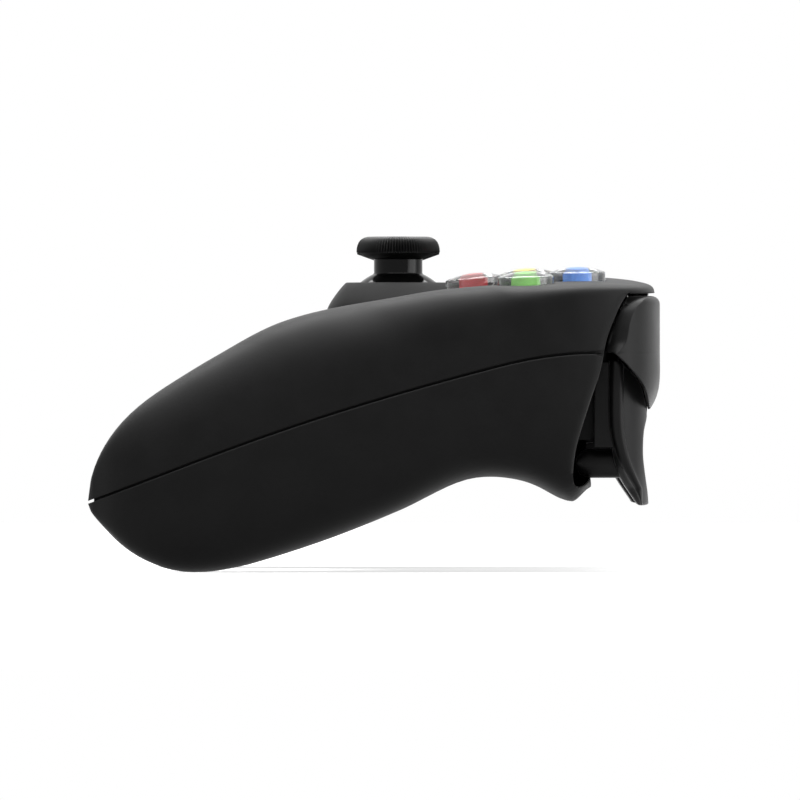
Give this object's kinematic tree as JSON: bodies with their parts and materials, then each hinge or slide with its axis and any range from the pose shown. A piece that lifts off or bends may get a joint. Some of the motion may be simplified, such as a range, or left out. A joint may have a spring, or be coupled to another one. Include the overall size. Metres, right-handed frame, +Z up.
{
  "type": "gamepad controller",
  "caption": "Black wireless gamepad with thumbsticks, direction pad, clear domed face buttons with coloured cores, bumpers and triggers, and its works inside",
  "frame": {"origin": "middle of the width and of the length, at the height of the grips' lowest point", "axes": "+X to the player's right, +Y to the front with the triggers, +Z up along the thumbsticks"},
  "size_m": [0.155, 0.104, 0.0611],
  "materials": {
    "case_plastic": "satin",
    "stick_plastic": "glossy",
    "steel": "satin",
    "board": "satin",
    "battery_pouch": "matt",
    "switch_plastic": "matt",
    "rubber": "matt",
    "clear_plastic": "glossy",
    "red_plastic": "glossy",
    "green_plastic": "glossy",
    "yellow_plastic": "glossy",
    "blue_plastic": "glossy",
    "bracket_plastic": "matt",
    "weight_brass": "satin"
  },
  "bodies": {
    "case": {"top_shell": "case_plastic", "bottom_shell": "case_plastic", "case_screws": "steel", "main_board": "board", "board_screws": "steel", "battery": "battery_pouch", "charging_socket": "steel", "menu_switches": "switch_plastic", "button_mat": "rubber", "pad_mat": "rubber", "pad_post": "case_plastic", "right_stick_frame": "steel", "right_stick_spring": "steel", "left_stick_frame": "steel", "left_stick_spring": "steel", "right_bumper_switch": "switch_plastic", "right_bracket": "bracket_plastic", "right_trigger_pin": "steel", "left_bumper_switch": "switch_plastic", "left_bracket": "bracket_plastic", "left_trigger_pin": "steel", "right_motor": "steel", "left_motor": "steel"},
    "right_stick": {"right_stick_cap": "rubber", "right_stick_post": "stick_plastic"},
    "right_gimbal": {"right_stick_ring": "steel"},
    "left_stick": {"left_stick_cap": "rubber", "left_stick_post": "stick_plastic"},
    "left_gimbal": {"left_stick_ring": "steel"},
    "pad": {"direction_pad": "case_plastic"},
    "pad_pivot": {"pad_ball": "steel"},
    "red_button": {"red_cap": "clear_plastic", "red_core": "red_plastic"},
    "green_button": {"green_cap": "clear_plastic", "green_core": "green_plastic"},
    "yellow_button": {"yellow_cap": "clear_plastic", "yellow_core": "yellow_plastic"},
    "blue_button": {"blue_cap": "clear_plastic", "blue_core": "blue_plastic"},
    "select": {"select_button": "case_plastic"},
    "start": {"start_button": "case_plastic"},
    "right_bumper_body": {"right_bumper": "case_plastic"},
    "left_bumper_body": {"left_bumper": "case_plastic"},
    "right_trigger_body": {"right_trigger": "case_plastic", "right_trigger_spring": "steel"},
    "left_trigger_body": {"left_trigger": "case_plastic", "left_trigger_spring": "steel"},
    "right_rotor": {"right_motor_weight": "weight_brass"},
    "left_rotor": {"left_motor_weight": "weight_brass"}
  },
  "joints": [
    {"name": "right_stick_fore_aft", "type": "hinge", "parent": "case", "child": "right_gimbal", "pos_m": [0.028, 0.0043, 0.0445], "axis": [1, 0, 0], "range_deg": [-16, 16], "stiffness_Nm_per_rad": 0.03, "deforming": ["right_stick_spring"]},
    {"name": "right_stick_sideways", "type": "hinge", "parent": "right_gimbal", "child": "right_stick", "pos_m": [0.028, 0.0043, 0.0445], "axis": [0, 1, 0], "range_deg": [-16, 16], "stiffness_Nm_per_rad": 0.03, "deforming": ["right_stick_spring"]},
    {"name": "left_stick_fore_aft", "type": "hinge", "parent": "case", "child": "left_gimbal", "pos_m": [-0.028, 0.0043, 0.0445], "axis": [1, 0, 0], "range_deg": [-16, 16], "stiffness_Nm_per_rad": 0.03, "deforming": ["left_stick_spring"]},
    {"name": "left_stick_sideways", "type": "hinge", "parent": "left_gimbal", "child": "left_stick", "pos_m": [-0.028, 0.0043, 0.0445], "axis": [0, 1, 0], "range_deg": [-16, 16], "stiffness_Nm_per_rad": 0.03, "deforming": ["left_stick_spring"]},
    {"name": "pad_fore_aft", "type": "hinge", "parent": "case", "child": "pad_pivot", "pos_m": [-0.05, 0.0275, 0.0465], "axis": [1, 0, 0], "range_deg": [-3.5, 3.5], "stiffness_Nm_per_rad": 0.1},
    {"name": "pad_sideways", "type": "hinge", "parent": "pad_pivot", "child": "pad", "pos_m": [-0.05, 0.0275, 0.0465], "axis": [0, 1, 0], "range_deg": [-3.5, 3.5], "stiffness_Nm_per_rad": 0.1},
    {"name": "red_press", "type": "slide", "parent": "case", "child": "red_button", "axis": [0, 0, -1], "range_m": [0, 0.0012], "stiffness_N_per_m": 400},
    {"name": "green_press", "type": "slide", "parent": "case", "child": "green_button", "axis": [0, 0, -1], "range_m": [0, 0.0012], "stiffness_N_per_m": 400},
    {"name": "yellow_press", "type": "slide", "parent": "case", "child": "yellow_button", "axis": [0, 0, -1], "range_m": [0, 0.0012], "stiffness_N_per_m": 400},
    {"name": "blue_press", "type": "slide", "parent": "case", "child": "blue_button", "axis": [0, 0, -1], "range_m": [0, 0.0012], "stiffness_N_per_m": 400},
    {"name": "select_press", "type": "slide", "parent": "case", "child": "select", "axis": [0, 0, -1], "range_m": [0, 0.0006], "stiffness_N_per_m": 400},
    {"name": "start_press", "type": "slide", "parent": "case", "child": "start", "axis": [0, 0, -1], "range_m": [0, 0.0006], "stiffness_N_per_m": 400},
    {"name": "right_bumper_press", "type": "hinge", "parent": "case", "child": "right_bumper_body", "pos_m": [0.0645, 0.044, 0.0442], "axis": [0, 0, 1], "range_deg": [0, 1.1], "stiffness_Nm_per_rad": 2},
    {"name": "right_trigger_pull", "type": "hinge", "parent": "case", "child": "right_trigger_body", "pos_m": [0.051, 0.0424, 0.0362], "axis": [-1, 0, 0], "range_deg": [0, 15], "stiffness_Nm_per_rad": 0.08, "springref_deg": -8.59},
    {"name": "right_rotor_spin", "type": "hinge", "parent": "case", "child": "right_rotor", "pos_m": [0.055, -0.014, 0.019], "axis": [1, 0, 0], "continuous": true},
    {"name": "left_bumper_press", "type": "hinge", "parent": "case", "child": "left_bumper_body", "pos_m": [-0.0645, 0.044, 0.0442], "axis": [0, 0, -1], "range_deg": [0, 1.1], "stiffness_Nm_per_rad": 2},
    {"name": "left_trigger_pull", "type": "hinge", "parent": "case", "child": "left_trigger_body", "pos_m": [-0.051, 0.0424, 0.0362], "axis": [-1, 0, 0], "range_deg": [0, 15], "stiffness_Nm_per_rad": 0.08, "springref_deg": -8.59},
    {"name": "left_rotor_spin", "type": "hinge", "parent": "case", "child": "left_rotor", "pos_m": [-0.055, -0.014, 0.019], "axis": [1, 0, 0], "continuous": true}
  ]
}
